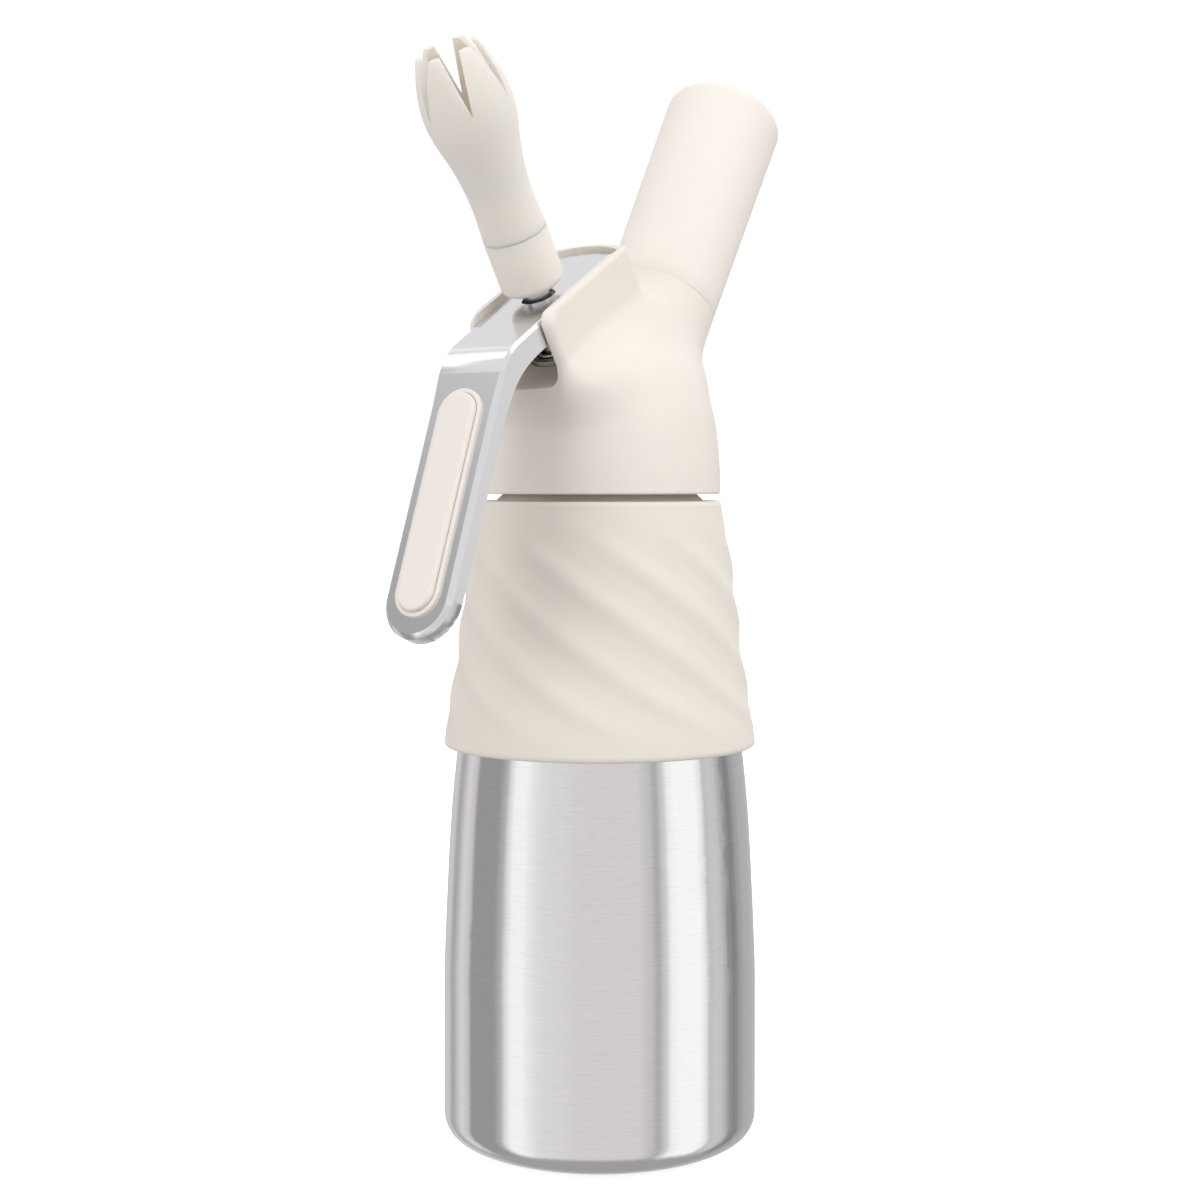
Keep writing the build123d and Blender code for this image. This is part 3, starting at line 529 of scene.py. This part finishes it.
# ------------------------------------------------------------------ sleeve with its swirl
SLEEVE_MEAN = [(40.85, 106.3), (40.45, 109.5), (39.75, 114.0), (38.85, 119.0), (37.95, 124.0), (37.15, 130.0),
               (36.35, 137.0), (35.55, 144.0), (34.75, 150.0), (33.75, 156.5), (32.85, 161.8), (32.25, 165.5), (31.95, 167.2)]
BOTTLE_OUT = [(41.0, 44.0), (40.72, 54.0), (40.27, 64.7), (39.49, 80.4), (38.3, 96.1), (37.3, 105.0), (35.5, 118.0),
              (33.9, 130.0), (32.3, 143.0), (30.6, 156.0), (29.2, 164.6), (26.9, 169.2), (25.0, 171.2), (24.2, 173.2)]
N_TH = 360
th = np.linspace(0, 2 * math.pi, N_TH, endpoint=False)
outer = spline(SLEEVE_MEAN, 9)
bot_out = spline(BOTTLE_OUT, 6)


def steel_r(z, off):
    return float(np.interp(z, bot_out[:, 1], bot_out[:, 0])) + off


top_edge = [(31.9, 167.9), (31.75, 168.5), (31.45, 168.95), (31.0, 169.2), (29.4, 169.2), (27.5, 169.2)]
top_edge += [(steel_r(z, 0.3), z) for z in (169.35, 169.8, 170.3, 170.8, 171.3, 171.8, 172.2)]
top_edge += [(steel_r(172.3, 0.12), 172.3)]
inner_z = np.linspace(172.1, 105.2, 60)
inner = [(steel_r(z, 0.06), z) for z in inner_z]
bottom_edge = [(37.5, 104.95), (39.3, 104.92), (40.0, 105.0), (40.5, 105.25), (40.78, 105.7)]
prof = np.vstack([outer, top_edge, inner, bottom_edge])
sv, sf = lathe(prof, N_TH)
n_out = len(outer)
grid = sv.reshape(len(prof), N_TH, 3)
zz = outer[:, 1][:, None]
N_FL, PITCH = 10, 0.428           # flutes, and how far a flute falls per degree
deg = np.degrees(th)[None, :]
phase = np.radians(N_FL * (deg - (44.6 + (140.0 - zz) / PITCH)))
wave = -np.cos(phase) + 0.18 * np.cos(2 * phase)
amp = 0.37 * step(zz, 107.0, 120.0) * (1 - step(zz, 151.0, 166.0))
dr = amp * wave
rr = outer[:, 0][:, None] + dr
grid[:n_out, :, 0] = rr * np.cos(th)
grid[:n_out, :, 1] = rr * np.sin(th)
sleeve = mesh_object("grip_sleeve", grid.reshape(-1, 3), sf, M["silicone_sleeve"], 50)
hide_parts("bottle_sleeve")
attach(sleeve, "bottle")

# ------------------------------------------------------------------ the lever's pad, a raised panel inside a flat rim
HD = math.radians(20.7)
ALONG, OUT = np.array([-math.sin(HD), -math.cos(HD)]), np.array([-math.cos(HD), math.sin(HD)])   # (y, z)
PAD_AT = np.array([-59.3, 191.0]) + 23.0 * ALONG
PAD_HALF, PAD_R = 28.9, 6.45
section = [(0.0, -1.2), (0.0, 0.45), (0.05, 0.60), (0.18, 0.68), (0.95, 0.68), (1.03, 0.62), (1.07, 0.25), (1.25, 0.25),
           (1.28, 0.60), (1.30, 1.22), (1.36, 1.48), (1.52, 1.68), (1.78, 1.77), (2.2, 1.8), (4.2, 1.8)]
N_ARC = 48
turn = np.concatenate([np.linspace(-90, 90, N_ARC), np.linspace(90, 270, N_ARC)]) * math.pi / 180
pad_v = []
for d, hgt in section:
    for k, a in enumerate(turn):
        end = (PAD_HALF - PAD_R) * (1 if k < N_ARC else -1)
        t, x = end + (PAD_R - d) * math.cos(a), (PAD_R - d) * math.sin(a)
        yz = PAD_AT + t * ALONG + hgt * OUT
        pad_v.append((x, yz[0], yz[1]))
n_ring = len(turn)
pad_f = []
for i in range(len(section) - 1):
    for j in range(n_ring):
        j2 = (j + 1) % n_ring
        pad_f.append((i * n_ring + j, i * n_ring + j2, (i + 1) * n_ring + j2, (i + 1) * n_ring + j))
pad_f.append(tuple(range(n_ring))[::-1])
pad_f.append(tuple((len(section) - 1) * n_ring + j for j in range(n_ring)))
pad = mesh_object("grip_pad", pad_v, pad_f, M["pad_plastic"], 40)
bm = bmesh.new()
bm.from_mesh(pad.data)
bmesh.ops.recalc_face_normals(bm, faces=bm.faces)
bm.to_mesh(pad.data)
bm.free()
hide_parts("lever_pad")
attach(pad, "lever")

# ------------------------------------------------------------------ finer edges on the CAD nodes
soften("lever_arm", 0.28, 25, 3)
soften("decorator_tip", 0.12, 30, 2)
soften("tip_adapter", 0.06, 35, 2)
soften("holder_shell", 0.18, 35, 2)

# ------------------------------------------------------------------ floor
def floor_material():
    m, nt, b = new_material("studio_floor")
    v = object_coords(nt)
    n = noise(nt, v, 6.0, 2.0)
    nt.links.new(mix_colours(nt, n, (0.94, 0.94, 0.94), (0.96, 0.96, 0.96)), b.inputs["Base Color"])
    b.inputs["Roughness"].default_value = 0.9
    b.inputs["Emission Color"].default_value = (1, 1, 1, 1)
    b.inputs["Emission Strength"].default_value = 0.6
    # a white sweep to look at, which bounces no more light than a grey one
    dull = node(nt, "ShaderNodeBsdfDiffuse")
    dull.inputs["Color"].default_value = (0.5, 0.5, 0.5, 1)
    path = node(nt, "ShaderNodeLightPath")
    mix = node(nt, "ShaderNodeMixShader")
    nt.links.new(path.outputs["Is Camera Ray"], mix.inputs[0])
    nt.links.new(dull.outputs[0], mix.inputs[1])
    nt.links.new(b.outputs[0], mix.inputs[2])
    out = [n for n in nt.nodes if n.type == "OUTPUT_MATERIAL"][0]
    nt.links.new(mix.outputs[0], out.inputs["Surface"])
    return m


fv, ff = lathe([(0.001, -0.02), (150, -0.02), (700, -0.02), (3000, -0.02)], 96, closed=False)
floor = mesh_object("studio_floor", fv, ff[:, ::-1].copy(), floor_material())
floor.visible_glossy = False

# ------------------------------------------------------------------ camera
AZ = math.radians(34.4)
cam_data = bpy.data.cameras.new("camera")
cam = bpy.data.objects.new("camera", cam_data)
scene.collection.objects.link(cam)
scene.camera = cam
cam_data.sensor_width = 36.0
cam_data.lens = 65.5
cam_data.clip_start, cam_data.clip_end = 0.05, 20
PITCH_DOWN = math.radians(1.58)
cam.location = (0.3244, -0.4738, 0.1748)
cam.rotation_euler = (math.pi / 2 - PITCH_DOWN, 0, AZ)
cam_data.shift_y = -(120.7 / 1200 - math.tan(PITCH_DOWN) * 2183.2 / 1200)
cam_data.shift_x = 0.3 / 1200

# ------------------------------------------------------------------ light
# azimuths below are measured at the object, from the camera's side, positive to the camera's right
def towards(rel_az, el, dist):
    """A point in metres seen from the object's middle at that azimuth and elevation."""
    a = AZ + math.radians(rel_az)
    e = math.radians(el)
    return Vector((math.sin(a) * math.cos(e), -math.cos(a) * math.cos(e), math.sin(e))) * dist + Vector((0, 0, 0.14))


def softbox(name, rel_az, el, dist, sx, sy, power, colour=(1, 1, 1)):
    d = bpy.data.lights.new(name, "AREA")
    d.shape = "RECTANGLE"
    d.size, d.size_y = sx, sy
    d.energy = power
    d.color = colour
    o = bpy.data.objects.new(name, d)
    scene.collection.objects.link(o)
    o.location = towards(rel_az, el, dist)
    o.rotation_mode = "QUATERNION"
    o.rotation_quaternion = (Vector((0, 0, 0.14)) - o.location).to_track_quat("-Z", "Y")
    o.visible_glossy = False
    return o


softbox("key", 56, 30, 1.6, 1.0, 1.2, 7.25, (1.0, 0.99, 0.975))
softbox("back", 172, 34, 1.9, 1.4, 1.2, 7.0, (1.0, 0.99, 0.98))
softbox("fill", -54, 4, 1.8, 1.3, 1.4, 11.5)
softbox("top", 10, 80, 1.5, 1.2, 1.2, 2.0)



def mirror_card(name, centre, facing, width, height, value):
    """A board seen only in polished metal: it lights nothing and throws no shadow."""
    m, nt, b = new_material(name)
    n = noise(nt, object_coords(nt), 3.0, 2.0)
    nt.links.new(mix_colours(nt, n, (0.97, 0.96, 0.95), (1, 1, 1)), b.inputs["Emission Color"])
    b.inputs["Base Color"].default_value = (0, 0, 0, 1)
    b.inputs["Emission Strength"].default_value = value
    d = Vector(facing).normalized()
    side = Vector((0, 0, 1)).cross(d).normalized()
    up = d.cross(side)
    c = Vector(centre)
    v = [c + side * (a * width / 2) + up * (e * height / 2) for a, e in ((-1, -1), (1, -1), (1, 1), (-1, 1))]
    o = mesh_object(name, [tuple(x / MM) for x in v], [(0, 1, 2, 3)], m)
    for way in ("camera", "diffuse", "transmission", "volume_scatter", "shadow"):
        setattr(o, "visible_" + way, False)
    return o


mirror_card("lever_side_card", (0.106, 0.091, 0.195), (-0.565, -0.825, 0), 0.08, 0.13, 0.695)

world = bpy.data.worlds.new("studio")
scene.world = world
world.use_nodes = True
wt = world.node_tree
wt.nodes.clear()
w_out = wt.nodes.new("ShaderNodeOutputWorld")


def wmath(op, a, b=None, c=None, clamp=False):
    n = wt.nodes.new("ShaderNodeMath")
    n.operation = op
    n.use_clamp = clamp
    for i, v in enumerate((a, b, c)):
        if v is None:
            continue
        if isinstance(v, (int, float)):
            n.inputs[i].default_value = v
        else:
            wt.links.new(v, n.inputs[i])
    return n.outputs[0]


way = wt.nodes.new("ShaderNodeTexCoord")
sep = wt.nodes.new("ShaderNodeSeparateXYZ")
wt.links.new(way.outputs["Generated"], sep.inputs[0])
dx, dy, dz = sep.outputs
# azimuth of the direction from the camera's side of the object, in turns, -0.5 .. 0.5
fwd = (math.sin(AZ), -math.cos(AZ))
rgt = (math.cos(AZ), math.sin(AZ))
to_cam = wmath("ADD", wmath("MULTIPLY", dx, fwd[0]), wmath("MULTIPLY", dy, fwd[1]))
to_right = wmath("ADD", wmath("MULTIPLY", dx, rgt[0]), wmath("MULTIPLY", dy, rgt[1]))
azim = wmath("DIVIDE", wmath("ARCTAN2", to_right, to_cam), 2 * math.pi)      # -0.5 .. 0.5
azim01 = wmath("ADD", azim, 0.5)
elev = wmath("ARCSINE", dz)

# brightness of the walls round the object, by azimuth in degrees
WALL = [(-180, 0.55), (-150, 0.62), (-139, 0.42), (-122, 0.72), (-114, 0.63), (-108, 0.33), 
        (-84, 0.33), (-78, 0.45), (-72, 0.82), (-68, 1.0), (-59, 1.0), (-53, 0.89), (-46, 0.80), (-38, 0.765), (-10, 0.705),
        (28, 0.70), (37, 0.60), (43, 0.45), (49, 0.66), (54, 0.98), (60, 1.04), (78, 1.04), (83, 0.90), (88, 0.58),
        (93, 0.64), (99, 0.62), (105, 0.50), (110, 0.29), (118, 0.25), (126, 0.38), (136, 0.46), (180, 0.55)]
MID = [(-180, 0.80), (-150, 0.78), (-128, 0.66), (-104, 0.52), (-92, 0.40), (-66, 0.40), (-52, 0.72), (-30, 0.80),
       (30, 0.80), (60, 0.92), (90, 0.84), (112, 0.74), (140, 0.78), (180, 0.80)]


def wall_ramp(values):
    r = wt.nodes.new("ShaderNodeValToRGB")
    r.color_ramp.interpolation = "EASE"
    els = r.color_ramp.elements
    while len(els) > 1:
        els.remove(els[-1])
    for i, (a, v) in enumerate(values):
        e = els[0] if i == 0 else els.new((a + 180) / 360)
        e.position = (a + 180) / 360
        tint = max(0.0, 1 - abs(v - 0.70) / 0.17)
        e.color = (v, v * (1 - 0.035 * tint), v * (1 - 0.008 * tint), 1)
    wt.links.new(azim01, r.inputs[0])
    return r.outputs["Color"]


def blend_by(fac, lo, hi, a, b):
    m = wt.nodes.new("ShaderNodeMapRange")
    m.interpolation_type = "SMOOTHSTEP"
    m.inputs["From Min"].default_value = lo
    m.inputs["From Max"].default_value = hi
    wt.links.new(fac, m.inputs["Value"])
    x = wt.nodes.new("ShaderNodeMix")
    x.data_type = "RGBA"
    wt.links.new(m.outputs[0], x.inputs[0])
    for k, c in ((6, a), (7, b)):
        if isinstance(c, tuple):
            x.inputs[k].default_value = (*c, 1)
        else:
            wt.links.new(c, x.inputs[k])
    return x.outputs[2]


rad = math.radians
walls = blend_by(elev, rad(11.0), rad(16.0), wall_ramp(WALL), wall_ramp(MID))
walls = blend_by(elev, rad(-56.0), rad(-36.0), (0.38, 0.375, 0.37), walls)
sky = blend_by(elev, rad(27), rad(41), walls, (0.78, 0.785, 0.795))
# round lamps for the lever to mirror: its bend, its long bevels and the two edges of each bevel
def round_lamp(under, rel_az, el, r_in, r_out, value):
    a, e = AZ + rad(rel_az), rad(el)
    at = (math.sin(a) * math.cos(e), -math.cos(a) * math.cos(e), math.sin(e))
    dot = wmath("ADD", wmath("ADD", wmath("MULTIPLY", dx, at[0]), wmath("MULTIPLY", dy, at[1])),
                wmath("MULTIPLY", dz, at[2]))
    return blend_by(dot, math.cos(rad(r_out)), math.cos(rad(r_in)), under, (value, value, value * 1.01))


def window(value, a, b, c, d):
    """1 between b and c, fading to 0 at a and at d."""
    up, down = wt.nodes.new("ShaderNodeMapRange"), wt.nodes.new("ShaderNodeMapRange")
    for n, lo, hi in ((up, a, b), (down, d, c)):
        n.interpolation_type = "SMOOTHSTEP"
        n.inputs["From Min"].default_value = min(lo, hi)
        n.inputs["From Max"].default_value = max(lo, hi)
        n.inputs["To Min"].default_value = 0.0 if hi > lo else 1.0
        n.inputs["To Max"].default_value = 1.0 if hi > lo else 0.0
        wt.links.new(value, n.inputs["Value"])
    return wmath("MULTIPLY", up.outputs[0], down.outputs[0])


def strip_lamp(under, a, b, c, d, el0, el1, value):
    """An upright strip between two azimuths, in degrees, and two heights."""
    f = wmath("MULTIPLY", window(azim, a / 360, b / 360, c / 360, d / 360),
              window(elev, rad(el0 - 4), rad(el0), rad(el1), rad(el1 + 4)))
    x = wt.nodes.new("ShaderNodeMix")
    x.data_type = "RGBA"
    wt.links.new(f, x.inputs[0])
    wt.links.new(under, x.inputs[6])
    x.inputs[7].default_value = (value, value, value * 1.01, 1)
    return x.outputs[2]


sky = strip_lamp(sky, -129, -121, -101, -98, 40, 66, 1.25)
sky = strip_lamp(sky, -148, -143, -140, -136, 40, 66, 0.96)
sky = round_lamp(sky, 90, 60, 12, 20, 1.30)
sky = round_lamp(sky, 68, 21, 4, 8, 1.5)
sky = round_lamp(sky, 27, 31, 8, 13, 0.75)
bg_light = wt.nodes.new("ShaderNodeBackground")
wt.links.new(sky, bg_light.inputs["Color"])
bg_light.inputs["Strength"].default_value = 1.0
bg_cam = wt.nodes.new("ShaderNodeBackground")
bg_cam.inputs["Color"].default_value = (1, 1, 1, 1)
bg_cam.inputs["Strength"].default_value = 1.05
lp = wt.nodes.new("ShaderNodeLightPath")
mixs = wt.nodes.new("ShaderNodeMixShader")
wt.links.new(lp.outputs["Is Camera Ray"], mixs.inputs[0])
wt.links.new(bg_light.outputs[0], mixs.inputs[1])
wt.links.new(bg_cam.outputs[0], mixs.inputs[2])
wt.links.new(mixs.outputs[0], w_out.inputs["Surface"])

scene.view_settings.view_transform = "Standard"
scene.view_settings.look = "None"
scene.view_settings.exposure = 0.0
scene.view_settings.gamma = 1.0
